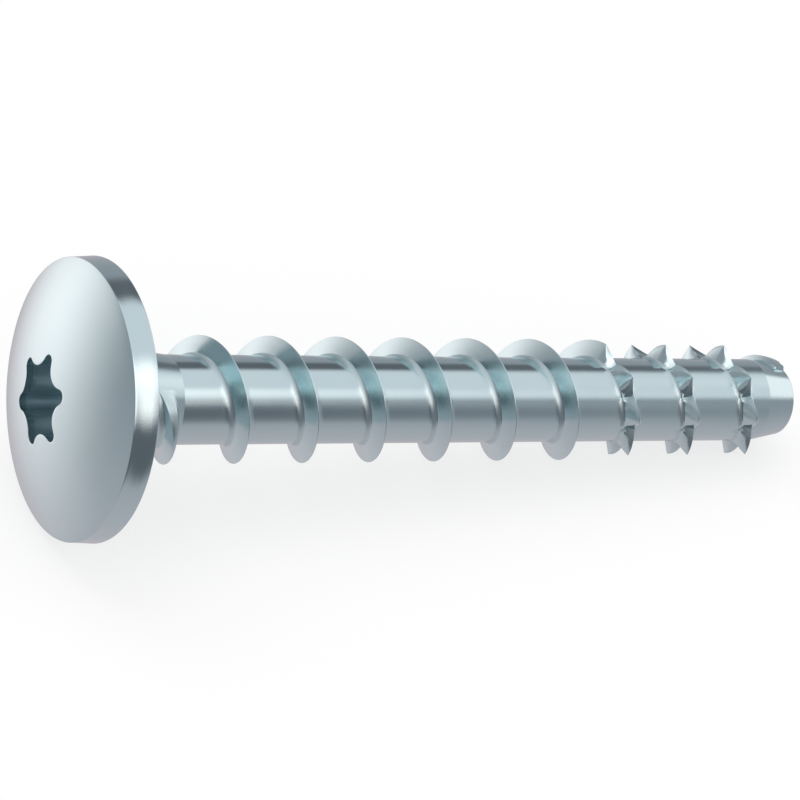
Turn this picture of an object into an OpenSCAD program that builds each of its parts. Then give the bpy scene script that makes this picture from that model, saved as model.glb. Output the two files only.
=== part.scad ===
// Concrete screw with a domed pan head, a six-lobed drive recess and a coarse, saw-toothed thread.
// It is one piece of zinc-plated steel, and it lies on the floor as it comes to rest:
// on the back edge of its head and on the last two full teeth of its thread.
// The middle of the flat seat under the head is the origin, and the tip points along +X.

/* [Head] */
// Diameter of the head at its flat underside
head_d = 16.6; // [13:0.1:20]
// Diameter of the crisp edge between rim and dome
head_edge_d = 16.4; // [12.5:0.1:19.8]
// Height of the rim
rim_h = 1.5; // [0.8:0.1:3]
// Height of the dome above the rim
dome_h = 2.0; // [1.4:0.05:3]
// Radius of the fillet between the underside and the shank
neck_fillet = 0.5; // [0.2:0.05:0.9]

/* [Drive recess] */
// Width across opposite lobes
recess_d = 5.6; // [5.2:0.05:6.4]
// Width across opposite ribs between the lobes
recess_rib_d = 3.95; // [3.8:0.05:4.2]
// Radius of a lobe's round end
lobe_r = 0.45; // [0.4:0.01:0.5]
// Depth of the lobes below the crown of the dome
recess_depth = 2.9; // [1.8:0.1:3]
// Depth of the cone under the lobes
recess_cone = 0.5; // [0.2:0.05:0.8]
// Turn of the lobes against the start of the thread, in degrees
recess_turn = 56.7; // [0:0.1:60]

/* [Shank] */
// Length from the underside of the head to the end of the tip
shank_l = 50; // [40:0.5:90]
// Diameter of the core between the threads
core_d = 5.3; // [4.8:0.05:5.8]
// Length of the tapered tip
tip_l = 2.3; // [1:0.1:4]
// Diameter of the flat end of the tip
tip_d = 4.5; // [3.6:0.1:4.7]

/* [Thread] */
// Diameter over the thread's crest
thread_d = 7.6; // [6.8:0.05:8.6]
// Distance from one turn to the next
pitch = 4.69; // [4:0.01:6]
// Angle between the two flanks, in degrees
flank_angle = 43; // [30:1:60]
// Width of the crest
crest_w = 0.1; // [0.05:0.01:0.3]
// Height of the fillet at the foot of each flank
root_fillet = 0.2; // [0.05:0.01:0.3]
// Distance from the underside of the head to where the crest line begins
thread_start = 3.48; // [2.6:0.01:6]
// Distance from the end of the tip to where the crest line ends
thread_end_gap = 0.37; // [0.1:0.01:2]
// Turn of the thread over which it rises at its start, in degrees
run_in = 80; // [40:5:160]
// Height that is left where the thread ends on the tip
run_out_h = 0.3; // [0.1:0.05:0.6]

/* [Saw teeth] */
// Teeth in one turn
teeth_per_turn = 8; // [6:1:10]
// Number of notches cut into the thread
notch_count = 21; // [8:1:32]
// Height of a notch's floor above the core
notch_floor = 0.06; // [0.02:0.01:0.5]
// Swelling of a tooth's ramp against an even rise
ramp_swell = 0.3; // [0:0.05:0.6]
// Teeth that would fit on the low run-out behind the last notch
run_out_teeth = 3.8; // [2:0.2:6]

/* [Hidden] */
$fn = 96;
zinc = "#b9c6cc";

core_r = core_d / 2;
tip_r = tip_d / 2;
thread_r = thread_d / 2;
thread_h = thread_r - core_r;

// The dome is a cap of a sphere over the rim's upper edge.
edge_r = head_edge_d / 2;
dome_r = (edge_r * edge_r + dome_h * dome_h) / (2 * dome_h);
crown_z = -rim_h - dome_h;

// The ribs between the lobes are arcs a little larger than those that would touch the lobes' round ends,
// so that rib and lobe meet at a faint corner.
lobe_count = 6;
lobe_step = 360 / lobe_count;
lobe_place = recess_d / 2 - lobe_r;
lobe_reach = lobe_place * cos(lobe_step / 2);
rib_near = recess_rib_d / 2;
touching_r = (lobe_r * lobe_r - lobe_place * lobe_place - rib_near * rib_near + 2 * lobe_reach * rib_near)
    / (2 * (rib_near - lobe_reach - lobe_r));
rib_overlap = 0.03;
rib_r = touching_r + rib_overlap;
rib_place = rib_near + rib_r;
// Flat ledge between the ribs and the cone at the bottom
recess_ledge = 0.15;

// A tooth is a long, rounded ramp and a short, flat, steep face that looks along the thread towards the tip.
ramp_steps = 3;
face_steps = 2;
tooth_steps = ramp_steps + face_steps;
tooth_angle = 360 / teeth_per_turn;
step_angle = tooth_angle / tooth_steps;
ramp_angle = ramp_steps * step_angle;
face_angle = face_steps * step_angle;

// Angles along the thread count from the beginning of its crest line.
end_angle = 360 * (shank_l - thread_end_gap - thread_start) / pitch;
step_count = floor(end_angle / step_angle);
last_notch = end_angle - run_out_teeth * tooth_angle;
first_notch = last_notch - (notch_count - 1) * tooth_angle;
run_out_angle = last_notch + ramp_angle;
// Share of a tooth by which a rounded angle may miss a notch's floor
notch_slack = 0.001;

// The flanks keep their slope, so the crest gets wider where it is lower.
flank_slope = tan(flank_angle / 2);
foot_spread = root_fillet * (1 + flank_slope);
// Depth to which the thread's foot is sunk into the core
foot_sink = 0.25;
// Height of the thread at its very beginning
run_in_h = 0.05;
// Clearance that keeps the thread short of the flat end
end_clearance = 0.05;

// At rest the last two full teeth and the back edge of the head touch the floor.
half_tooth = tooth_angle / 2;
rest_tooth_z = thread_start + pitch * (last_notch + ramp_angle - half_tooth) / 360;
rest_tilt = atan((head_d / 2 - thread_r * cos(half_tooth)) / rest_tooth_z);
tooth_lead = pitch / teeth_per_turn;
rest_trim = asin(tooth_lead * tan(rest_tilt) / (thread_d * sin(half_tooth)));
floor_angle = last_notch + ramp_angle - half_tooth - rest_trim;

// Place of the crest line along the screw at an angle along the thread
function crest_z(a) = thread_start + pitch * a / 360;

// Radius of the core at a place along the screw, smaller on the tapered tip
function core_at(z) = let (past = max(0, z - shank_l + tip_l)) core_r - past * (core_r - tip_r) / tip_l;

// Radius at angle a on the straight line from radius r0 at angle a0 to radius r1 at angle a1
function straight_r(a, a0, r0, a1, r1) =
    r0 * r1 * sin(a1 - a0) / (r0 * sin(a - a0) + r1 * sin(a1 - a));

// Height of the rounded ramp, at a share of its angle
function ramp_h(part) = notch_floor + (thread_h - notch_floor) * part * (1 + ramp_swell * (1 - part));

// Height of the crest between two notches, at an angle past the floor of the first
function tooth_h(past) =
    past < ramp_angle
    ? ramp_h(max(0, past) / ramp_angle)
    : straight_r(past, ramp_angle, thread_r, tooth_angle, core_r + notch_floor) - core_r;

// Angle past the nearest notch floor that lies behind, counted over all the notches
function past_notch(a) =
    let (k = floor((a - first_notch) / tooth_angle + notch_slack)) a - first_notch - k * tooth_angle;

function run_in_height(a) = run_in_h + (thread_h - run_in_h) * sin(90 * min(1, a / run_in));

function run_out_height(a) =
    thread_h - (thread_h - run_out_h) * max(0, a - run_out_angle) / (end_angle - run_out_angle);

// Height of the crest above the core, all along the thread
function crest_h(a) =
    a < first_notch - face_angle - step_angle / 2 ? run_in_height(a)
    : a > run_out_angle + step_angle / 2 ? run_out_height(a)
    : max(notch_floor, tooth_h(past_notch(a)));

// Point of the thread at an angle along it, a place across it and a height above the core
function thread_point(a, across, h) =
    let (z = min(crest_z(a) + across, shank_l - end_clearance))
    let (r = core_at(z) + h)
    [r * cos(a), r * sin(a), z];

// Half the width of the thread between its flanks, at a height above the core
function half_width(h) = crest_w / 2 + (thread_h - h) * flank_slope;

// Outline across the thread: foot, fillet and crest on the head's side, then the same on the tip's side
function section(a) =
    let (h = crest_h(a))
    let (fillet = min(root_fillet, h / 2))
    let (spread = half_width(0) + foot_spread)
    let (foot = spread + foot_sink * (spread - half_width(root_fillet)) / root_fillet)
    [
        thread_point(a, -foot, -foot_sink),
        thread_point(a, -half_width(fillet), fillet),
        thread_point(a, -half_width(h), h),
        thread_point(a, half_width(h), h),
        thread_point(a, half_width(fillet), fillet),
        thread_point(a, foot, -foot_sink),
    ];

// Number of points in one outline
section_size = len(section(0));

// Triangles of one band between two neighbouring sections
function band(i) = [
    for (j = [0 : section_size - 1])
        let (k = (j + 1) % section_size)
        let (near = i * section_size)
        let (far = near + section_size)
        each [[near + j, near + k, far + j], [near + k, far + k, far + j]]
];

module blank_profile() {
    // Rim with a slight draft
    polygon([[0, -rim_h], [edge_r, -rim_h], [head_d / 2, 0], [0, 0]]);
    // Dome
    intersection() {
        translate([0, crown_z + dome_r]) circle(r = dome_r);
        translate([0, crown_z]) square([edge_r, dome_h]);
    }
    // Fillet under the head
    difference() {
        square([core_r + neck_fillet, neck_fillet]);
        translate([core_r + neck_fillet, neck_fillet]) circle(r = neck_fillet);
    }
    // Core and tapered tip
    polygon([[0, 0], [core_r, 0], [core_r, shank_l - tip_l], [tip_r, shank_l], [0, shank_l]]);
}

module lobed_outline() {
    difference() {
        polygon([
            for (i = [0 : lobe_count - 1]) each [
                lobe_place * [cos(i * lobe_step), sin(i * lobe_step)],
                rib_place * [cos((i + 0.5) * lobe_step), sin((i + 0.5) * lobe_step)],
            ]
        ]);
        for (i = [0 : lobe_count - 1])
            rotate((i + 0.5) * lobe_step) translate([rib_place, 0]) circle(r = rib_r);
    }
    for (i = [0 : lobe_count - 1])
        rotate(i * lobe_step) translate([lobe_place, 0]) circle(r = lobe_r);
}

module drive_recess() {
    translate([0, 0, crown_z - dome_h]) linear_extrude(recess_depth + dome_h) lobed_outline();
    translate([0, 0, crown_z + recess_depth]) cylinder(r1 = rib_near - recess_ledge, r2 = 0, h = recess_cone);
}

module thread() {
    sections = [for (i = [0 : step_count]) section(end_angle - (step_count - i) * step_angle)];
    last = step_count * section_size;
    // Each end is closed by two trapeziums, one below the fillets' tops and one above.
    polyhedron(
        points = [for (s = sections) each s],
        faces = [
            [5, 4, 1, 0],
            [4, 3, 2, 1],
            for (i = [0 : step_count - 1]) each band(i),
            [last, last + 1, last + 4, last + 5],
            [last + 1, last + 2, last + 3, last + 4],
        ],
        convexity = 10
    );
}

module upright_screw() {
    difference() {
        rotate_extrude() blank_profile();
        rotate(recess_turn) drive_recess();
    }
    thread();
}

module concrete_screw() {
    color(zinc) rotate([0, 90 + rest_tilt, 0]) rotate(-floor_angle) upright_screw();
}

concrete_screw();
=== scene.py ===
import math
from collections import namedtuple

import bmesh
import bpy
from mathutils import Matrix, Vector


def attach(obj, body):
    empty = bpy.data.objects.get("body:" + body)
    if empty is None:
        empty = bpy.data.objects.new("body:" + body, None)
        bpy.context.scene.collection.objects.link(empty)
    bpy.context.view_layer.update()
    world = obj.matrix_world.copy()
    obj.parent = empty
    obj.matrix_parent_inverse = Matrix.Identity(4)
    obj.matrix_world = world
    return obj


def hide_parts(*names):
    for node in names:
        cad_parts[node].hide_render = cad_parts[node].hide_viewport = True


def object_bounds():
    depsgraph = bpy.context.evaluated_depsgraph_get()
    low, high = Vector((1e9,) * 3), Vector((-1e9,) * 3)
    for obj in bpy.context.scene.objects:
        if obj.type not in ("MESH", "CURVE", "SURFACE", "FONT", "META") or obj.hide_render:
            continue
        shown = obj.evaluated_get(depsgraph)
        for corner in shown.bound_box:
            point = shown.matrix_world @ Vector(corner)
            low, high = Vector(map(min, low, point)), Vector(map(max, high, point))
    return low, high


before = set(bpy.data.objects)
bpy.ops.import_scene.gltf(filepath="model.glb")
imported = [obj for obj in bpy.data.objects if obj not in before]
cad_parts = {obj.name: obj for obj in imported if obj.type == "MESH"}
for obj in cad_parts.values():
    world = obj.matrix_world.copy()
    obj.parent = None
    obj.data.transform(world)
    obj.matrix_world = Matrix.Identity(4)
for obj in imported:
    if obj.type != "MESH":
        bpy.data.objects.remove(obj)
CAD_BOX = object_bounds()

bl_info = {
    "name": "Concrete Screw",
    "version": (1, 0, 0),
    "blender": (4, 5, 0),
    "location": "View3D > Sidebar > Screw",
    "description": "Builds a zinc-plated concrete screw with a saw-toothed thread, and a plain stage for it",
    "category": "Add Mesh",
}

MM = 0.001
QUARTER = math.pi / 2
NODE_NAME = "concrete_screw"

# Points round the screw; a tooth of an eighth of a turn takes twenty of them.
ROUND = 160
STEP = math.tau / ROUND
# Strips from the crest line to the middle between two turns: crest, flank, fillet and bare core
CREST_STRIPS = 2
FLANK_STRIPS = 3
FILLET_STRIPS = 4
CORE_STRIPS = 6
SIDE_STRIPS = CREST_STRIPS + FLANK_STRIPS + FILLET_STRIPS + CORE_STRIPS
ACROSS = 2 * SIDE_STRIPS + 1
# Parts into which the outlines of head and tip are divided
NECK_PARTS = 8
EDGE_PARTS = 6
STRAIGHT_PARTS = 4
MOUTH_PARTS = 4
LEDGE_PARTS = 2
DOME_PARTS = 24
# Power by which the dome's rings crowd towards the recess
DOME_CROWDING = 1.15
# Places of the rings on the straight rim, as shares of the way between its rounded edges
RIM_SHARES = (0.3, 0.6, 0.9)
# Middle of the rounded edge between rim and dome, in radii of that edge: inwards, and back from the rim's end
CORNER_IN = 0.25
CORNER_BACK = 0.9
# Lobes of the drive recess
LOBES = 6

# Distances within which points count as one, in the wound strip and in the whole screw
WELD = 0.0005 * MM
SLACK = 0.002 * MM
# Distance from the core within which the points of a crease are put back on it
CREASE_SLACK = 5 * SLACK
# Share of a tooth or of a step by which a rounded angle may miss its mark
ANGLE_SLACK = 0.001
# Angle from which an edge is sharp
SHARP = math.radians(24)

# What the plating reads from the mesh
RISE = "thread_rise"
CUT = "cut"
HOLLOW = "hollow"
# Share by which a point lies in the drive recess; it paints shade there and adds roughness.
RECESS_SHADE_AND_DULLING = "recess"
# The added roughness of a cut is gone at this share of the ramp, and fades towards it at this rate.
CUT_END = 0.75
CUT_GAIN = 2.0
# Noise of the plating's clouds, spots and grain; a scale counts to the metre.
CLOUDS = {"Scale": 0.35 / MM, "Detail": 4.0, "Roughness": 0.55}
SPOTS = {"Scale": 1.7 / MM, "Detail": 3.0, "Roughness": 0.6}
GRAIN_DETAIL = 2.0
NOISE_MEAN = 0.5
SPOT_GAIN = 0.5
# Value at which each of these starts to show, and how fast it then grows
Growth = namedtuple("Growth", "start gain")
CLOUDING = Growth(0.35, 2.2)
RUBBING = Growth(0.82, 6.0)
WEAR = Growth(0.3, 2.0)
ROLLING = Growth(0.15, 4.0)

# Width in pixels of the image in which the focal length is given, and of the camera's sensor in millimetres
IMAGE_PX = 800
SENSOR_MM = 36
# Nearest and farthest distance that the camera sees, in metres
CLIP = (0.01, 20.0)
WHITE = (1.0, 1.0, 1.0, 1.0)

# What the plating mirrors, in the order in which one panel covers another. The heading is counted from +X
# towards +Y and the height from the floor, in degrees; a panel is full within its inner reach and fades out
# at its outer one.
Panel = namedtuple("Panel", "heading height inner outer colour")
PANELS = {
    "bright floor behind the head": Panel(121, -18, 1, 53, (1.385, 1.23, 1.225)),
    "dark room in front": Panel(-96, 9, 33, 48, (0.141, 0.142, 0.163)),
    "pale wall behind": Panel(100, 48, 8, 26, (0.62, 0.60, 0.62)),
    "dark gap behind the roof": Panel(53, 29, 7, 18, (0.15, 0.15, 0.166)),
    "soft roof": Panel(-8, 67, 33, 46, (0.858, 0.83, 0.862)),
    "bright wall beyond the tip": Panel(3, 22, 17, 27, (1.25, 1.155, 1.16)),
    "lower pane of the window": Panel(-74, 39, 6, 25.5, (1.9, 1.65, 1.6)),
    "upper pane of the window": Panel(-50, 54, 3, 20, (1.8, 1.62, 1.6)),
}
# Colours between the panels. The ground's is full where a direction rises by the first number, and has given
# way to the surround's at the second.
SURROUND = (0.367, 0.366, 0.394)
GROUND = (0.583, 0.521, 0.55)
GROUND_FULL = -1.0
GROUND_END = 0.2


def size(name, description, default):
    """A length in metres, given here in millimetres."""
    return bpy.props.FloatProperty(
        name=name, description=description, default=default * MM, min=0, precision=5, unit="LENGTH"
    )


def point(name, description, default):
    """A place in metres, given here in millimetres."""
    return bpy.props.FloatVectorProperty(
        name=name, description=description, default=[part * MM for part in default], size=3, precision=5,
        subtype="TRANSLATION", unit="LENGTH",
    )


def turn(name, description, default):
    """An angle, given here in degrees."""
    return bpy.props.FloatProperty(
        name=name, description=description, default=math.radians(default), unit="ROTATION"
    )


def share(name, description, default, top=1.0):
    """A plain number without a unit."""
    return bpy.props.FloatProperty(
        name=name, description=description, default=default, min=0, max=top, subtype="FACTOR"
    )


def number(name, description, default, least):
    """A whole number."""
    return bpy.props.IntProperty(name=name, description=description, default=default, min=least)


def colour(name, description, default):
    """A linear colour."""
    return bpy.props.FloatVectorProperty(
        name=name, description=description, default=default, size=3, min=0, max=1, subtype="COLOR"
    )


class ScrewSizes(bpy.types.PropertyGroup):
    """Sizes of the screw."""

    head_d: size("Head", "Diameter of the head at its flat underside", 16.6)
    head_edge_d: size("Head Edge", "Diameter of the edge between rim and dome", 16.4)
    rim_h: size("Rim", "Height of the rim", 1.5)
    dome_h: size("Dome", "Height of the dome above the rim", 2.0)
    edge_round: size("Edge Rounding", "Radius of the head's rounded edges", 0.05)
    neck_fillet: size("Neck Fillet", "Radius of the fillet under the head", 0.5)
    neck_join: size("Neck Join", "Length of the neck between that fillet and the wound shank", 0.4)
    recess_d: size("Recess Lobes", "Width across opposite lobes of the drive recess", 5.6)
    recess_rib_d: size("Recess Ribs", "Width across opposite ribs of the drive recess", 3.95)
    lobe_r: size("Lobe", "Radius of a lobe's round end", 0.45)
    mouth_round: size("Mouth Rounding", "Radius of the recess's rounded mouth", 0.03)
    recess_depth: size("Recess Depth", "Depth of the lobes below the crown", 2.9)
    recess_ledge: size("Recess Ledge", "Width of the flat ledge between the ribs and the cone", 0.15)
    recess_cone: size("Recess Cone", "Depth of the cone under the lobes", 0.5)
    recess_turn: turn("Recess Turn", "Turn of the lobes against the start of the thread", 56.7)
    shank_l: size("Shank", "Length from the underside of the head to the tip's end", 50)
    core_d: size("Core", "Diameter of the core between the threads", 5.3)
    neck_end: size("Neck End", "Place where the conical neck runs into the core", 4.67)
    neck_slope: turn("Neck Slope", "Slope of the conical neck", 7)
    tip_l: size("Tip Length", "Length of the tapered tip", 2.3)
    tip_d: size("Tip End", "Diameter of the tip's flat end", 4.5)
    tip_round: size("Tip Rounding", "Radius of the tip's rounded edge", 0.12)
    thread_d: size("Thread", "Diameter over the thread's crest", 7.6)
    pitch: size("Pitch", "Distance from one turn to the next", 4.69)
    flank_angle: turn("Flank Angle", "Angle between the two flanks", 43)
    crest_w: size("Crest", "Width of the crest", 0.05)
    crest_round: size("Crest Rounding", "Drop of the crest towards its two edges", 0.008)
    root_fillet: size("Root Fillet", "Height of the fillet at the foot of the flank on the tip's side", 0.2)
    head_fillet: size("Head Fillet", "Height of the fillet at the foot of the flank on the head's side", 0.14)
    head_bend: turn("Head Fillet Bend", "Bend of that fillet before it meets the flank", 38)
    thread_start: size("Thread Start", "Place where the crest line begins", 3.48)
    thread_end_gap: size("Thread End", "Distance from the tip's end to the end of the crest line", 0.37)
    lead_in: turn("Lead-In", "Turn over which the thread leaves the neck before its crest line begins", 10)
    run_in: turn("Run-In", "Turn over which the thread rises at its start", 80)
    run_out_h: size("Run-Out", "Height that is left where the thread ends", 0.3)
    notch_count: number("Notches", "Notches in the thread", 21, 1)
    teeth_per_turn: number("Teeth", "Teeth in one turn", 8, 4)
    ramp_share: share("Ramp", "Share of a tooth that its long ramp takes", 0.6)
    ramp_swell: share("Ramp Swell", "Swelling of a tooth's ramp against an even rise", 0.3)
    run_out_teeth: share("Run-Out Teeth", "Teeth that would fit on the low run-out", 3.8, 10)
    tooth_fillet: share("Tooth Fillet", "Height of the fillets in the toothed stretch, as a share", 0.8)
    notch_floor: size("Notch Floor", "Height of a notch's floor above the core", 0.06)
    notch_lean: share("Notch Lean", "Lean of the notches across the thread, in radians per millimetre", 0.078)
    notch_tilt: share("Notch Tilt", "Rise of the notches across the thread, towards the tip", 0.62)
    notch_pinch: share("Notch Pinch", "Width of a notch's floor, as a share of that between full flanks", 0.6)


class ZincFinish(bpy.types.PropertyGroup):
    """Finish of the bluish zinc plating."""

    plating: colour("Plating", "Colour of the clean plating", (0.60, 0.755, 0.776))
    cloud: colour("Cloud", "Colour of its faint clouds", (0.583, 0.737, 0.763))
    rubbed: colour("Rubbed Crest", "Colour of the rubbed crests of the thread", (0.80, 0.86, 0.89))
    rub: share("Rub", "How much of that colour shows", 0.15)
    # Painted shade: the recess colour is a little darker than the plating, painted as the shade in the drive
    # recess.
    recess: colour("Recess", "Colour of the duller plating in the drive recess", (0.60, 0.725, 0.76))
    roughness: share("Roughness", "Mean roughness of the plating", 0.13)
    rubbed_roughness: share("Rubbed Roughness", "Added roughness on the rubbed crests", 0.05)
    recess_roughness: share("Recess Roughness", "Added roughness in the drive recess", 0.22)
    cut_roughness: share("Cut Roughness", "Added roughness where the notches cut into the crest", 0.2)
    flank_roughness: share("Flank Roughness", "Added roughness on the rolled flanks of the thread", 0.07)
    fillet_roughness: share("Fillet Roughness", "Added roughness in the fillets of the thread", 0.27)
    uneven: share("Unevenness", "How much the roughness varies", 0.05)
    grain: size("Grain", "Size of the plating's fine grain", 0.12)
    grain_depth: share("Grain Depth", "Strength of the fine grain's relief", 0.015)


class StageLook(bpy.types.PropertyGroup):
    """Floor, light and camera."""

    floor: colour("Floor", "Colour of the floor", (0.97, 0.97, 0.97))
    floor_reach: size("Floor Reach", "Distance from the middle of the floor to its edges", 3000)
    lit_floor: share("Lit Floor", "Share of the floor's brightness that comes from below", 0.7)
    tent: share("Tent", "Brightness of the light tent all round", 0.86, 4)
    key: share("Key", "Brightness of the large soft lamp above the screw", 1.75, 20)
    key_side: size("Key Side", "Side of that square lamp", 600)
    key_place: point("Key Place", "Place of the lamp", (-200, 300, 700))
    key_aim: point("Key Aim", "Place that the lamp points at", (20, 0, 0))
    view_angle: turn("View Angle", "Angle between the screw and the line of sight", 57.6986)
    focal_px: bpy.props.FloatProperty(
        name="Focal Length", description=f"Focal length in pixels of an image {IMAGE_PX} pixels wide",
        default=3282.82, min=1,
    )
    distance: size("Distance", "Depth of the seat in front of the camera", 189.1789)
    aside: size("Aside", "Distance of the seat to the left of the line of sight", 17.7658)
    lowered: size("Lowered", "Drop of the line of sight below the screw's axis", 0.0232)


class Value:
    """A node socket with a number in it, on which sums can be written."""

    def __init__(self, tree, socket):
        self.tree = tree
        self.socket = socket

    def __add__(self, other):
        return self.tree.math("ADD", self, other)

    def __radd__(self, other):
        return self.tree.math("ADD", other, self)

    def __sub__(self, other):
        return self.tree.math("SUBTRACT", self, other)

    def __rsub__(self, other):
        return self.tree.math("SUBTRACT", other, self)

    def __mul__(self, other):
        return self.tree.math("MULTIPLY", self, other)

    def __rmul__(self, other):
        return self.tree.math("MULTIPLY", other, self)

    def __truediv__(self, other):
        return self.tree.math("DIVIDE", self, other)

    def __rtruediv__(self, other):
        return self.tree.math("DIVIDE", other, self)

    def __lt__(self, other):
        return self.tree.math("LESS_THAN", self, other)

    def __gt__(self, other):
        return self.tree.math("GREATER_THAN", self, other)

    def __abs__(self):
        return self.tree.math("ABSOLUTE", self)


class Tree:
    """A node tree that is filled from expressions."""

    def __init__(self, tree):
        self.tree = tree

    def node(self, kind, settings=None, out=0, **sockets):
        """Adds a node, makes its settings, gives its sockets their values or links, and returns an output.

        A socket goes by its name, with _ for a blank, or by its place, as in i0 or i1."""
        made = self.tree.nodes.new(kind)
        for key, value in (settings or {}).items():
            setattr(made, key, value)
        for key, value in sockets.items():
            socket = made.inputs[int(key[1:]) if key[1:].isdigit() else key.replace("_", " ")]
            if isinstance(value, Value):
                self.tree.links.new(value.socket, socket)
            else:
                socket.default_value = value
        return Value(self, made.outputs[out]) if made.outputs else None

    def math(self, operation, *terms, clamp=False):
        places = {f"i{k}": term for k, term in enumerate(terms)}
        return self.node("ShaderNodeMath", {"operation": operation, "use_clamp": clamp}, **places)

    def sin(self, x):
        return self.math("SINE", x)

    def cos(self, x):
        return self.math("COSINE", x)

    def tan(self, x):
        return self.math("TANGENT", x)

    def floor(self, x):
        return self.math("FLOOR", x)

    def low(self, x, y):
        return self.math("MINIMUM", x, y)

    def high(self, x, y):
        return self.math("MAXIMUM", x, y)

    def unit(self, x):
        """x kept between 0 and 1."""
        return self.math("ADD", x, 0.0, clamp=True)

    def grown(self, x, growth):
        """0 up to where the growth starts, then rising to 1."""
        return self.unit((x - growth.start) * growth.gain)

    def pick(self, test, yes, no):
        """yes where test is 1, no where it is 0."""
        return no + (yes - no) * test

    def fade(self, x, start, stop):
        """1 where x is at start, 0 where it is at stop, and a smooth change between."""
        return self.node(
            "ShaderNodeMapRange", {"interpolation_type": "SMOOTHSTEP"},
            Value=x, From_Min=start, From_Max=stop, To_Min=1.0, To_Max=0.0,
        )

    def blend(self, amount, under, over):
        """The colour over laid on the colour under."""
        return self.node("ShaderNodeMix", {"data_type": "RGBA"}, out=2, i0=amount, i6=under, i7=over)


def empty_tree(owner):
    """The node tree of a material or a world, without its first nodes."""
    owner.use_nodes = True
    owner.node_tree.nodes.clear()
    return Tree(owner.node_tree)


def opaque(shade):
    """A colour with full alpha, as a socket takes it."""
    return (*shade, 1.0)


class Form:
    """Values that follow from the screw's sizes, in metres and radians."""

    def __init__(self, sizes):
        self.s = sizes
        self.core_r = sizes.core_d / 2
        self.tip_r = sizes.tip_d / 2
        self.thread_r = sizes.thread_d / 2
        self.edge_r = sizes.head_edge_d / 2
        self.dome_r = (self.edge_r**2 + sizes.dome_h**2) / (2 * sizes.dome_h)
        self.crown = -sizes.rim_h - sizes.dome_h
        self.recess_floor = self.crown + sizes.recess_depth
        self.recess_bottom = self.recess_floor + sizes.recess_cone
        self.join = sizes.neck_fillet + sizes.neck_join
        self.tip_edge = sizes.shank_l - sizes.tip_round
        # Angles along the thread count from the beginning of its crest line.
        self.tooth = math.tau / sizes.teeth_per_turn
        self.ramp = self.tooth * sizes.ramp_share
        self.end = math.tau * (sizes.shank_l - sizes.thread_end_gap - sizes.thread_start) / sizes.pitch
        last_notch = self.end - sizes.run_out_teeth * self.tooth
        self.first_notch = last_notch - (sizes.notch_count - 1) * self.tooth
        self.run_out = last_notch + self.ramp
        # The winding strip begins a turn before the neck's join and ends a turn past the end of the thread.
        before = (sizes.thread_start + sizes.pitch - self.join) * math.tau / sizes.pitch
        steps_before = math.ceil((self.end + before) / STEP)
        self.steps = steps_before + ROUND
        self.first_angle = self.end - steps_before * STEP
        self.place = self.rest_place()

    def rest_place(self):
        """Turn that lays the upright screw on the back edge of its head and on its last two full teeth."""
        s = self.s
        half = self.tooth / 2
        rest_z = s.thread_start + s.pitch * (self.run_out - half) / math.tau
        tilt = math.atan((s.head_d / 2 - self.thread_r * math.cos(half)) / rest_z)
        lead = s.pitch / s.teeth_per_turn
        trim = math.asin(lead * math.tan(tilt) / (s.thread_d * math.sin(half)))
        floor_angle = self.run_out - half - trim
        return Matrix.Rotation(QUARTER + tilt, 4, "Y") @ Matrix.Rotation(-floor_angle, 4, "Z")

    def core_at(self, z):
        """Radius of the core along the screw, larger on the neck and smaller on the tapered tip."""
        past = max(0.0, z - self.s.shank_l + self.s.tip_l)
        before = max(0.0, self.s.neck_end - z)
        taper = (self.core_r - self.tip_r) / self.s.tip_l
        return self.core_r + before * math.tan(self.s.neck_slope) - past * taper

    def dome_z(self, r):
        """Place of the dome along the screw at a radius."""
        return self.crown + self.dome_r - math.sqrt(self.dome_r**2 - r * r)

    def axes(self):
        """The screw's own directions: along it, out of it towards the viewer, and up in the view."""
        turned = self.place.to_3x3()
        return turned @ Vector((0, 0, 1)), turned @ Vector((1, 0, 0)), turned @ Vector((0, -1, 0))


SOCKET_TYPES = {
    int: "NodeSocketInt",
    float: "NodeSocketFloat",
    bpy.types.Material: "NodeSocketMaterial",
}


def shank_inputs(form, finish):
    """Values for the shank's node tree, under the names of its inputs."""
    s = form.s
    return {
        "Steps": form.steps,
        "First Angle": form.first_angle,
        "Core Radius": form.core_r,
        "Join": form.join,
        "Neck End": s.neck_end,
        "Neck Slope": s.neck_slope,
        "Tip Radius": form.tip_r,
        "Tip Length": s.tip_l,
        "Tip Edge": form.tip_edge,
        "Shank Length": s.shank_l,
        "Thread Radius": form.thread_r,
        "Pitch": s.pitch,
        "Flank Half Angle": s.flank_angle / 2,
        "Crest Width": s.crest_w,
        "Crest Rounding": s.crest_round,
        "Root Fillet": s.root_fillet,
        "Head Fillet": s.head_fillet,
        "Head Fillet Bend": s.head_bend,
        "Thread Start": s.thread_start,
        "Lead-In": s.lead_in,
        "Run-In": s.run_in,
        "First Notch": form.first_notch,
        "Tooth": form.tooth,
        "Ramp": form.ramp,
        "Ramp Swell": s.ramp_swell,
        "Tooth Fillet": s.tooth_fillet,
        "Notch Floor": s.notch_floor,
        "Notch Lean": s.notch_lean / MM,
        "Notch Tilt": s.notch_tilt,
        "Notch Pinch": s.notch_pinch,
        "Run-Out": form.run_out,
        "Run-Out Height": s.run_out_h,
        "End": form.end,
        "Finish": finish,
    }


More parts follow.
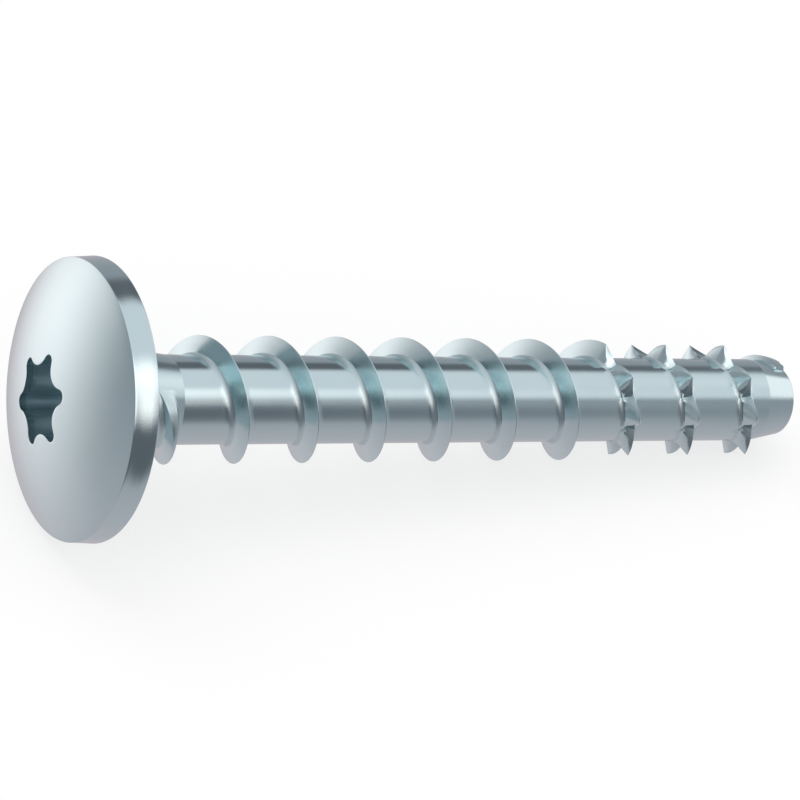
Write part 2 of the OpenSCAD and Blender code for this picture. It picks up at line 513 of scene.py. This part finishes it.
class Winding:
    """The strip that winds round the screw, as fields of a node tree, with a row of points for each step."""

    def __init__(self, t, given):
        self.t = t
        self.given = given
        self.thread_h = given["Thread Radius"] - given["Core Radius"]
        index = t.node("GeometryNodeInputIndex")
        row = t.floor((index + 0.5) / ACROSS)
        strip = index - row * ACROSS - SIDE_STRIPS
        self.side = t.math("SIGN", strip)
        self.angle = given["First Angle"] + row * STEP
        # How much of crest, flank, fillet and bare core lies between the crest line and a point
        covered = []
        count = abs(strip)
        for strips in (CREST_STRIPS, FLANK_STRIPS, FILLET_STRIPS, CORE_STRIPS):
            covered.append(t.unit(count / strips))
            count = count - strips
        self.on_crest, self.on_flank, self.on_fillet, self.on_core = covered
        # Angle past the last notch, as if there were notches all along the thread
        past = self.angle - given["First Notch"]
        self.past = past - t.floor(past / given["Tooth"] + ANGLE_SLACK) * given["Tooth"]
        # The toothed stretch begins with the steep face in front of the first notch.
        self.entering = t.unit((self.angle - given["First Notch"]) / (given["Tooth"] - given["Ramp"]) + 1.0)
        self.toothed = self.entering * (self.angle < given["Run-Out"] + STEP / 2)
        self.crest_h = self.crest_height()
        self.aside, self.height = self.outline()

    def tooth_height(self):
        """Height of a saw tooth: a swelling ramp, then a straight, steep face down to the next notch."""
        t, given, past = self.t, self.given, self.past
        core_r, thread_r, ramp = given["Core Radius"], given["Thread Radius"], given["Ramp"]
        floor_r = core_r + given["Notch Floor"]
        part = t.unit(past / ramp)
        up = floor_r + (thread_r - floor_r) * part * (1.0 + given["Ramp Swell"] * (1.0 - part))
        face = given["Tooth"] - ramp
        to_go = given["Tooth"] - past
        down = thread_r * floor_r * t.sin(face) / (thread_r * t.sin(past - ramp) + floor_r * t.sin(to_go))
        return t.high(t.pick(past < ramp, up, down), floor_r) - core_r

    def crest_height(self):
        """Height of the crest above the core: run-in, plain thread, saw teeth and run-out."""
        t, given, angle = self.t, self.given, self.angle
        lead_in, run_out_at, end = given["Lead-In"], given["Run-Out"], given["End"]
        risen = t.unit((angle + lead_in) / (given["Run-In"] + lead_in))
        plain = self.thread_h * t.sin(risen * QUARTER)
        sunk = t.unit((angle - run_out_at) / (end - run_out_at))
        ended = t.unit((angle - end) / STEP - ANGLE_SLACK)
        run_out = (self.thread_h - (self.thread_h - given["Run-Out Height"]) * sunk) * (1.0 - ended)
        sawn = t.pick(angle > run_out_at + STEP / 2, run_out, self.tooth_height())
        first_face = given["First Notch"] - (given["Tooth"] - given["Ramp"])
        return t.pick(angle < first_face - STEP / 2, plain, sawn)

    def outline(self):
        """Place of a point across the thread, from the crest line, and its height above the core."""
        t, given, h = self.t, self.given, self.crest_h
        on_head_side = self.side < 0.0
        slope = t.tan(given["Flank Half Angle"])
        # In the toothed stretch the fillets are lower and the notches narrower.
        filling = 1.0 - (1.0 - given["Tooth Fillet"]) * self.toothed
        narrowing = 1.0 - (1.0 - given["Notch Pinch"]) * self.toothed
        fillet = t.low(t.pick(on_head_side, given["Head Fillet"], given["Root Fillet"]) * filling, h * 0.5)
        full = t.pick(on_head_side, given["Head Fillet Bend"], QUARTER - given["Flank Half Angle"])
        radius = fillet / (1.0 - t.cos(full))
        bend = full * (1.0 - self.on_fillet)
        edge = given["Crest Width"] * 0.5 + (self.thread_h - h) * slope * narrowing
        root = given["Crest Width"] * 0.5 + (self.thread_h - fillet) * slope
        run = radius * (t.sin(full) - t.sin(bend))
        bare = given["Pitch"] * 0.5 - root - radius * t.sin(full)
        place = edge * self.on_crest + (root - edge) * self.on_flank + run + bare * self.on_core
        level = h - (h - fillet) * self.on_flank - fillet + radius * (1.0 - t.cos(bend))
        # The crest is a little round, and the notches rise towards the tip.
        above_flank = self.on_crest * (1.0 - self.on_flank)
        eased = t.low(given["Crest Rounding"] * self.on_crest * above_flank, h * 0.5)
        tilted = self.side * edge * given["Notch Tilt"] * self.toothed * above_flank
        height = t.low(t.high(level + tilted - eased, 0.0), self.thread_h)
        return self.side * place, height

    def position(self):
        """Place of a point; the thread stands on the core, on the conical neck or on the tapered tip."""
        t, given = self.t, self.given
        # The notches lean, while bare core, run-in and run-out keep their angle.
        leaving = t.unit((given["Run-Out"] - self.angle) / given["Ramp"])
        lean = given["Notch Lean"] * self.entering * leaving * (1.0 - self.on_core)
        angle = self.angle - lean * self.aside
        unbound = given["Thread Start"] + given["Pitch"] * angle / math.tau + self.aside
        along = t.low(t.high(unbound, given["Join"]), given["Tip Edge"])
        neck = t.high(given["Neck End"] - along, 0.0) * t.tan(given["Neck Slope"])
        past_core = t.high(along - given["Shank Length"] + given["Tip Length"], 0.0)
        taper = (given["Core Radius"] - given["Tip Radius"]) / given["Tip Length"]
        # The neck takes up the thread's height, and nothing stands out past the tip's edge.
        left = t.unit((given["Tip Edge"] - unbound) / given["Crest Width"])
        height = self.height * left * (1.0 - neck / self.thread_h)
        radius = given["Core Radius"] + neck - past_core * taper + height
        return t.node("ShaderNodeCombineXYZ", X=radius * t.cos(angle), Y=radius * t.sin(angle), Z=along)

    def marks(self):
        """Shares by which a point is on the thread, in a cut at the start of a ramp, and in a fillet."""
        t, given = self.t, self.given
        fading = t.unit((CUT_END - self.past / given["Ramp"]) * CUT_GAIN)
        within = t.unit(self.on_fillet * FILLET_STRIPS) * t.unit((1.0 - self.on_fillet) * FILLET_STRIPS)
        return {
            RISE: t.unit(self.height / self.thread_h),
            CUT: self.toothed * (1.0 - self.on_flank) * fading,
            HOLLOW: within * t.unit(self.crest_h / given["Head Fillet"]),
        }


def shank_tree(inputs):
    """A node tree that winds a strip round the screw: core, saw-toothed thread and tapered tip."""
    group = bpy.data.node_groups.new("Threaded Shank", "GeometryNodeTree")
    for name, value in inputs.items():
        group.interface.new_socket(name, in_out="INPUT", socket_type=SOCKET_TYPES[type(value)])
    group.interface.new_socket("Geometry", in_out="OUTPUT", socket_type="NodeSocketGeometry")
    t = Tree(group)
    source = t.node("NodeGroupInput").socket.node
    given = {socket.name: Value(t, socket) for socket in source.outputs if socket.name}
    winding = Winding(t, given)
    strip = t.node(
        "GeometryNodeMeshGrid", Vertices_X=given["Steps"], Vertices_Y=ACROSS, Size_X=1.0, Size_Y=1.0
    )
    strip = t.node("GeometryNodeSetPosition", Geometry=strip, Position=winding.position())
    for name, value in winding.marks().items():
        strip = t.node(
            "GeometryNodeStoreNamedAttribute", {"data_type": "FLOAT", "domain": "POINT"},
            Geometry=strip, Name=name, Value=value,
        )
    strip = t.node("GeometryNodeMergeByDistance", Geometry=strip, Distance=WELD)
    strip = t.node("GeometryNodeSetShadeSmooth", Geometry=strip, Shade_Smooth=True)
    strip = t.node("GeometryNodeRealizeInstances", Geometry=strip)
    strip = t.node("GeometryNodeSetMaterial", Geometry=strip, Material=given["Finish"])
    t.node("NodeGroupOutput", Geometry=strip)
    return group


def shank_mesh(form, finish):
    """The shank as a plain mesh, standing upright under the head, open at the neck and at the tip's end."""
    inputs = shank_inputs(form, finish)
    group = shank_tree(inputs)
    holder = bpy.data.objects.new("shank_holder", bpy.data.meshes.new("shank_holder"))
    bpy.context.scene.collection.objects.link(holder)
    modifier = holder.modifiers.new("Threaded Shank", "NODES")
    modifier.node_group = group
    for item in group.interface.items_tree:
        if item.in_out == "INPUT":
            modifier[item.identifier] = inputs[item.name]
    holder.update_tag()
    graph = bpy.context.evaluated_depsgraph_get()
    mesh = bpy.data.meshes.new_from_object(holder.evaluated_get(graph), depsgraph=graph)
    holder.modifiers.remove(modifier)
    bpy.data.objects.remove(holder)
    return mesh


def lobed_radius(sizes, angle):
    """Radius of the drive recess's lobed outline at an angle round the screw."""
    half = math.pi / LOBES
    lobe_r = sizes.lobe_r
    lobe_at = sizes.recess_d / 2 - lobe_r
    near = sizes.recess_rib_d / 2
    reach = lobe_at * math.cos(half)
    # The ribs between the lobes are arcs that touch the lobes' round ends.
    rib_r = (lobe_r**2 - lobe_at**2 - near**2 + 2 * reach * near) / (2 * (near - reach - lobe_r))
    rib_at = near + rib_r
    rib_middle = Vector((rib_at * math.cos(half), rib_at * math.sin(half)))
    touch = Vector((lobe_at, 0)).lerp(rib_middle, lobe_r / (lobe_r + rib_r))
    from_lobe = abs((angle - sizes.recess_turn + half) % (2 * half) - half)
    from_rib = half - from_lobe
    if from_lobe < math.atan2(touch.y, touch.x):
        return lobe_at * math.cos(from_lobe) + math.sqrt(lobe_r**2 - (lobe_at * math.sin(from_lobe))**2)
    return rib_at * math.cos(from_rib) - math.sqrt(rib_r**2 - (rib_at * math.sin(from_rib))**2)


def shares(parts):
    """Shares at the ends of equal parts, the last of them 1."""
    return [k / parts for k in range(1, parts + 1)]


# A ring of head or tip is a function that gives its radius and its place along the screw at an angle.
def plain_ring(r, z):
    """A round, flat ring."""
    return lambda angle: (r, z)


def arc_rings(middle_r, middle_z, radius, start, stop, parts):
    """Rings along a round stretch of the outline, both ends among them."""
    rings = []
    for part in (0.0, *shares(parts)):
        a = start + (stop - start) * part
        rings.append(plain_ring(middle_r + radius * math.cos(a), middle_z + radius * math.sin(a)))
    return rings


def straight_rings(r0, z0, r1, z1):
    """Rings along a straight stretch of the outline, without its ends."""
    parts = shares(STRAIGHT_PARTS)[:-1]
    return [plain_ring(r0 + (r1 - r0) * part, z0 + (z1 - z0) * part) for part in parts]


def rim_rings(form):
    """Rings from the neck over the seat and round the rim, and the radius at which the dome begins."""
    s = form.s
    soft = s.edge_round
    head_r = s.head_d / 2
    seat_r = form.core_at(s.neck_fillet) + s.neck_fillet
    rings = [plain_ring(form.core_at(form.join), form.join)]
    rings += arc_rings(seat_r, s.neck_fillet, s.neck_fillet, math.pi, math.pi + QUARTER, NECK_PARTS)
    rings += straight_rings(seat_r, 0.0, head_r - soft, 0.0)
    # The rim draws in a little towards the dome.
    draft = math.atan2(head_r - form.edge_r, s.rim_h)
    rings += arc_rings(head_r - soft, -soft, soft, QUARTER, -draft, EDGE_PARTS)
    lean = math.asin(form.edge_r / form.dome_r)
    corner_r = (form.dome_r - soft) * math.sin(lean) - soft * CORNER_IN
    corner_z = -s.rim_h + soft * CORNER_BACK
    for part in RIM_SHARES:
        z = -soft + (corner_z + soft) * part
        rings.append(plain_ring(head_r + (form.edge_r - head_r) * -z / s.rim_h, z))
    rings += arc_rings(corner_r, corner_z, soft, -draft, lean - QUARTER, EDGE_PARTS)
    return rings, corner_r + soft * math.sin(lean)


def dome_ring(form, shoulder, part):
    """A ring on the dome, part of the way from the recess's mouth to the shoulder."""
    def ring(angle):
        inner = lobed_radius(form.s, angle) + form.s.mouth_round
        r = inner + (shoulder - inner) * part
        return r, form.dome_z(r)
    return ring


def mouth_ring(form, bend):
    """A ring on the recess's rounded mouth."""
    mouth = form.s.mouth_round

    def ring(angle):
        r = lobed_radius(form.s, angle)
        z = form.dome_z(r + mouth)
        return r + mouth * (1 - math.sin(bend)), z + mouth * (1 - math.cos(bend))
    return ring


def wall_ring(form, part):
    """A ring on the recess's upright wall."""
    mouth = form.s.mouth_round

    def ring(angle):
        r = lobed_radius(form.s, angle)
        top = form.dome_z(r + mouth) + mouth
        return r, top + (form.recess_floor - top) * part
    return ring


def ledge_ring(form, ledge_r, part):
    """A ring on the ledge at the foot of that wall."""
    def ring(angle):
        r = lobed_radius(form.s, angle)
        return r + (ledge_r - r) * part, form.recess_floor
    return ring


def head_rings(form):
    """Rings of the head, from the neck round the rim and over the dome to the bottom of the recess."""
    rings, shoulder = rim_rings(form)
    ledge_r = form.s.recess_rib_d / 2 - form.s.recess_ledge
    for k in reversed(range(DOME_PARTS)):
        rings.append(dome_ring(form, shoulder, (k / DOME_PARTS) ** DOME_CROWDING))
    rings += [mouth_ring(form, part * QUARTER) for part in shares(MOUTH_PARTS)]
    rings += [wall_ring(form, part) for part in shares(STRAIGHT_PARTS)]
    rings += [ledge_ring(form, ledge_r, part) for part in shares(LEDGE_PARTS)]
    return rings + straight_rings(ledge_r, form.recess_floor, 0.0, form.recess_bottom)


def tip_rings(form):
    """Rings of the tip's rounded edge and flat end."""
    s = form.s
    flat_r = form.core_at(form.tip_edge) - s.tip_round
    edge = arc_rings(flat_r, form.tip_edge, s.tip_round, 0.0, QUARTER, EDGE_PARTS)
    return edge + straight_rings(flat_r, s.shank_l, 0.0, s.shank_l)


def close_with_rings(work, rings, middle_z, angles):
    """Adds bands of faces from the first ring to the last, and closes them at a point on the screw's axis."""
    rows = []
    for ring in rings:
        row = []
        for angle in angles:
            r, z = ring(angle)
            row.append(work.verts.new((r * math.cos(angle), r * math.sin(angle), z)))
        rows.append(row)
    middle = work.verts.new((0, 0, middle_z))
    for k in range(ROUND):
        m = (k + 1) % ROUND
        for upper, lower in zip(rows, rows[1:]):
            work.faces.new((upper[k], upper[m], lower[m], lower[k]))
        work.faces.new((rows[-1][k], rows[-1][m], middle))


def crease_shank(work, form, z):
    """Cuts a ring of edges into the shank, where the core meets its neck or its tip."""
    parts = work.verts[:] + work.edges[:] + work.faces[:]
    made = bmesh.ops.bisect_plane(work, geom=parts, dist=SLACK, plane_co=(0, 0, z), plane_no=(0, 0, 1))
    for part in made["geom_cut"]:
        if isinstance(part, bmesh.types.BMVert) and part.co.xy.length < form.core_r + CREASE_SLACK:
            part.co.xy *= form.core_r / part.co.xy.length


def mark_recess(work, form):
    """Marks the points in the drive recess, whose plating is rougher there and painted a little darker as
    shade.
    """
    layer = work.verts.layers.float.new(RECESS_SHADE_AND_DULLING)
    for vert in work.verts:
        r = vert.co.xy.length
        if r < form.s.recess_d / 2 and vert.co.z < 0:
            below = vert.co.z - form.dome_z(r)
            vert[layer] = min(1.0, max(0.0, below / form.s.lobe_r))


def finish_screw(mesh, form, finish):
    """Adds head and tip end to the shank's mesh, joins all three and gives them one finish."""
    work = bmesh.new()
    work.from_mesh(mesh)
    angles = [form.end + k * STEP for k in range(ROUND)]
    close_with_rings(work, head_rings(form), form.recess_bottom, angles)
    close_with_rings(work, tip_rings(form), form.s.shank_l, angles)
    bmesh.ops.remove_doubles(work, verts=work.verts, dist=SLACK)
    creases = (form.s.neck_end, form.s.shank_l - form.s.tip_l)
    for crease in creases:
        crease_shank(work, form, crease)
    bmesh.ops.recalc_face_normals(work, faces=work.faces)
    loose = [edge for edge in work.edges if len(edge.link_faces) != 2]
    if loose:
        work.free()
        raise RuntimeError(f"the screw's surface is open at {len(loose)} edges")
    for face in work.faces:
        face.smooth = True
    for edge in work.edges:
        on_crease = any(all(abs(vert.co.z - crease) < SLACK for vert in edge.verts) for crease in creases)
        edge.smooth = edge.calc_face_angle(0.0) < SHARP and not on_crease
    mark_recess(work, form)
    work.transform(form.place)
    work.to_mesh(mesh)
    work.free()
    mesh.materials.clear()
    mesh.materials.append(finish)
    mesh.polygons.foreach_set("material_index", [0] * len(mesh.polygons))


def zinc_material(finish):
    """Bluish zinc plating: bright, faintly clouded, with a fine grain, cleaner crests and painted shade in
    the drive recess.
    """
    material = bpy.data.materials.new("zinc_plating")
    t = empty_tree(material)
    place = t.node("ShaderNodeTexCoord", out="Object")
    clouds = t.node("ShaderNodeTexNoise", out="Fac", Vector=place, **CLOUDS)
    spots = t.node("ShaderNodeTexNoise", out="Fac", Vector=place, **SPOTS)
    grain = t.node("ShaderNodeTexNoise", out="Fac", Vector=place, Scale=1 / finish.grain, Detail=GRAIN_DETAIL)

    def marked(name):
        return t.node("ShaderNodeAttribute", {"attribute_name": name}, out="Fac")

    rise = marked(RISE)
    recess_shade_and_dulling = marked(RECESS_SHADE_AND_DULLING)
    cloudy = t.unit((clouds - CLOUDING.start) * CLOUDING.gain + (spots - NOISE_MEAN) * SPOT_GAIN)
    rubbed = t.grown(rise, RUBBING) * t.grown(spots, WEAR)
    tint = t.blend(cloudy, opaque(finish.cloud), opaque(finish.plating))
    tint = t.blend(rubbed * finish.rub, tint, opaque(finish.rubbed))
    # Painted shade: the drive recess gets a darker colour than the plating.
    tint = t.blend(recess_shade_and_dulling, tint, opaque(finish.recess))
    roughness = finish.roughness + (clouds - NOISE_MEAN + spots - NOISE_MEAN) * finish.uneven
    for amount, added in (
        (rubbed, finish.rubbed_roughness),
        (recess_shade_and_dulling, finish.recess_roughness),
        (marked(CUT), finish.cut_roughness),
        (marked(HOLLOW), finish.fillet_roughness),
        (t.grown(rise, ROLLING), finish.flank_roughness),
    ):
        roughness = roughness + amount * added
    relief = t.node(
        "ShaderNodeBump", Strength=finish.grain_depth, Distance=finish.grain, Height=grain * (1.0 - recess_shade_and_dulling)
    )
    shader = t.node(
        "ShaderNodeBsdfPrincipled", Base_Color=tint, Metallic=1.0, Roughness=roughness, Normal=relief
    )
    t.node("ShaderNodeOutputMaterial", Surface=shader)
    return material


def floor_material(look):
    """Plain pale floor, lit from below like a light table, which keeps a light shadow."""
    material = bpy.data.materials.new("pale_floor")
    t = empty_tree(material)
    matt = t.node("ShaderNodeBsdfDiffuse", Color=opaque(look.floor), Roughness=1.0)
    lit = t.node("ShaderNodeEmission", Color=WHITE, Strength=1.0)
    seen = t.node("ShaderNodeLightPath", out="Is Camera Ray")
    shader = t.node("ShaderNodeMixShader", i0=seen * look.lit_floor, i1=matt, i2=lit)
    t.node("ShaderNodeOutputMaterial", Surface=shader)
    return material


def studio(t):
    """Colour of the studio in the direction of a ray."""
    ahead = t.node("ShaderNodeTexCoord", out="Generated")
    upward = t.node("ShaderNodeSeparateXYZ", out="Z", Vector=ahead)
    seen = t.blend(t.fade(upward, GROUND_FULL, GROUND_END), opaque(SURROUND), opaque(GROUND))
    for panel in PANELS.values():
        heading, height = math.radians(panel.heading), math.radians(panel.height)
        flat = math.cos(height)
        middle = (flat * math.cos(heading), flat * math.sin(heading), math.sin(height))
        facing = t.node(
            "ShaderNodeVectorMath", {"operation": "DOT_PRODUCT"}, out="Value", i0=ahead, i1=middle
        )
        off = t.math("ARCCOSINE", facing)
        cover = t.fade(off, math.radians(panel.inner), math.radians(panel.outer))
        seen = t.blend(cover, seen, opaque(panel.colour))
    return seen


class SCREW_OT_screw(bpy.types.Operator):
    """Builds the screw in one piece and lays it where the solid lies"""

    bl_idname = "screw.screw"
    bl_label = "Concrete Screw"

    def execute(self, context):
        form = Form(context.scene.screw_sizes)
        finish = zinc_material(context.scene.screw_finish)
        mesh = shank_mesh(form, finish)
        finish_screw(mesh, form, finish)
        mesh.name = "plated_screw"
        screw = bpy.data.objects.new("plated_screw", mesh)
        context.scene.collection.objects.link(screw)
        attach(screw, "root")
        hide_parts(NODE_NAME)
        return {"FINISHED"}


class SCREW_OT_stage(bpy.types.Operator):
    """Sets up floor, light tent, lamp and camera"""

    bl_idname = "screw.stage"
    bl_label = "Stage"

    def execute(self, context):
        scene = context.scene
        look = scene.screw_stage
        scene.view_settings.view_transform = "Standard"
        self.floor(scene, look)
        self.tent(scene, look)
        self.lamp(scene, look)
        self.camera(scene, look, Form(scene.screw_sizes))
        return {"FINISHED"}

    def floor(self, scene, look):
        low = CAD_BOX[0].z
        reach = look.floor_reach
        mesh = bpy.data.meshes.new("floor")
        corners = [(-reach, -reach, low), (reach, -reach, low), (reach, reach, low), (-reach, reach, low)]
        mesh.from_pydata(corners, [], [(0, 1, 2, 3)])
        mesh.materials.append(floor_material(look))
        floor = bpy.data.objects.new("floor", mesh)
        floor.visible_glossy = False
        scene.collection.objects.link(floor)

    def tent(self, scene, look):
        """An even tent lights the floor, and the plating mirrors the studio's panels."""
        scene.world = bpy.data.worlds.new("light_tent")
        t = empty_tree(scene.world)
        mirrored = t.node("ShaderNodeLightPath", out="Is Glossy Ray")
        light = t.blend(mirrored, (look.tent, look.tent, look.tent, 1.0), studio(t))
        sky = t.node("ShaderNodeBackground", Color=light, Strength=1.0)
        t.node("ShaderNodeOutputWorld", Surface=sky)

    def lamp(self, scene, look):
        """A large soft lamp, for the shadow on the floor."""
        data = bpy.data.lights.new("key", "AREA")
        data.shape = "SQUARE"
        data.size = look.key_side
        data.energy = look.key * math.pi * look.key_side**2
        lamp = bpy.data.objects.new("key", data)
        lamp.location = look.key_place
        lamp.rotation_mode = "QUATERNION"
        lamp.rotation_quaternion = (look.key_aim - look.key_place).to_track_quat("-Z", "Y")
        lamp.visible_camera = False
        lamp.visible_glossy = False
        scene.collection.objects.link(lamp)

    def camera(self, scene, look, form):
        along, outward, up = form.axes()
        angle = look.view_angle
        right = along * math.sin(angle) + outward * math.cos(angle)
        ahead = along * math.cos(angle) - outward * math.sin(angle)
        place = right * look.aside - ahead * look.distance - up * look.lowered
        data = bpy.data.cameras.new("camera")
        data.sensor_width = SENSOR_MM
        data.lens = SENSOR_MM * look.focal_px / IMAGE_PX
        data.clip_start, data.clip_end = CLIP
        camera = bpy.data.objects.new("camera", data)
        camera.matrix_world = Matrix((
            (right.x, up.x, -ahead.x, place.x),
            (right.y, up.y, -ahead.y, place.y),
            (right.z, up.z, -ahead.z, place.z),
            (0, 0, 0, 1),
        ))
        scene.collection.objects.link(camera)
        scene.camera = camera


class SCREW_PT_panel(bpy.types.Panel):
    """Lists the screw's sizes, finish and stage"""

    bl_idname = "SCREW_PT_panel"
    bl_label = "Concrete Screw"
    bl_space_type = "VIEW_3D"
    bl_region_type = "UI"
    bl_category = "Screw"

    def draw(self, context):
        for group in (context.scene.screw_sizes, context.scene.screw_finish, context.scene.screw_stage):
            column = self.layout.column(align=True)
            for name in group.__annotations__:
                column.prop(group, name)
        self.layout.operator(SCREW_OT_screw.bl_idname)
        self.layout.operator(SCREW_OT_stage.bl_idname)


CLASSES = (ScrewSizes, ZincFinish, StageLook, SCREW_OT_screw, SCREW_OT_stage, SCREW_PT_panel)


def register():
    for item in CLASSES:
        bpy.utils.register_class(item)
    bpy.types.Scene.screw_sizes = bpy.props.PointerProperty(type=ScrewSizes)
    bpy.types.Scene.screw_finish = bpy.props.PointerProperty(type=ZincFinish)
    bpy.types.Scene.screw_stage = bpy.props.PointerProperty(type=StageLook)


def unregister():
    del bpy.types.Scene.screw_stage
    del bpy.types.Scene.screw_finish
    del bpy.types.Scene.screw_sizes
    for item in reversed(CLASSES):
        bpy.utils.unregister_class(item)


def main():
    register()
    bpy.ops.screw.screw()
    bpy.ops.screw.stage()


if __name__ == "__main__":
    main()
